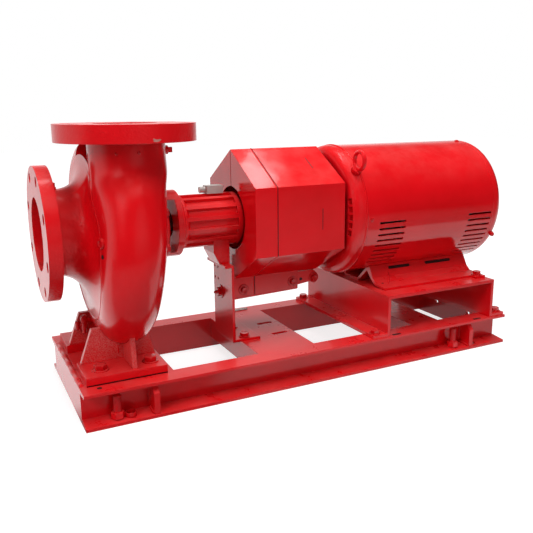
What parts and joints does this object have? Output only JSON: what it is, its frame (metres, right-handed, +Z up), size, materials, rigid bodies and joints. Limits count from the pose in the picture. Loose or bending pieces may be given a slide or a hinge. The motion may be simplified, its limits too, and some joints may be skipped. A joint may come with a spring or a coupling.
{
  "type": "horizontal end-suction centrifugal pump with motor on a channel base",
  "caption": "End-suction centrifugal pump with a volute casing, bearing frame, hexagonal coupling guard and open motor on a steel channel base.",
  "frame": {"origin": "centre of the four anchor holes, at floor level", "axes": "+X along the shaft from the pump to the motor, +Z up, discharge nozzle offset towards -Y"},
  "size_m": [1.128, 0.4465, 0.585],
  "materials": {
    "bare_alloy": "bare cast alloy",
    "dark_iron": "dark unpainted iron",
    "red_casting": "gloss enamel over sand-cast iron",
    "red_paint": "gloss enamel over rolled steel",
    "red_sheet": "gloss enamel over folded sheet",
    "steel": "turned steel"
  },
  "bodies": {
    "root": {"bearing_cap": "red_casting", "bearing_frame": "red_casting", "casing_cover": "red_casting", "coupling_motor_half": "dark_iron", "coupling_pump_half": "dark_iron", "discharge_gauge_plug": "red_paint", "end_angle_right": "red_paint", "end_plate_left": "red_paint", "guard_motor_half": "red_sheet", "guard_pump_half": "red_sheet", "guard_support_bar": "red_paint", "levelling_screw_front_left": "red_paint", "levelling_screw_front_right": "red_paint", "levelling_screw_rear_left": "red_paint", "levelling_screw_rear_right": "red_paint", "lifting_eye": "red_paint", "middle_cross_member": "red_paint", "motor_drive_end_bell": "red_casting", "motor_foot": "red_paint", "motor_pedestal": "red_paint", "motor_rear_end_bell": "red_casting", "motor_shaft": "steel", "motor_shell": "red_sheet", "oil_cup": "bare_alloy", "pedestal_cross_member": "red_paint", "pump_base_plate": "red_paint", "pump_shaft": "steel", "rail_front": "red_paint", "rail_rear": "red_paint", "rail_stiffener_front_left": "red_paint", "rail_stiffener_front_right": "red_paint", "rail_stiffener_rear_left": "red_paint", "rail_stiffener_rear_right": "red_paint", "stator": "dark_iron", "suction_gauge_plug": "red_paint", "support_leg": "red_paint", "volute_casing": "red_casting"}
  },
  "joints": []
}
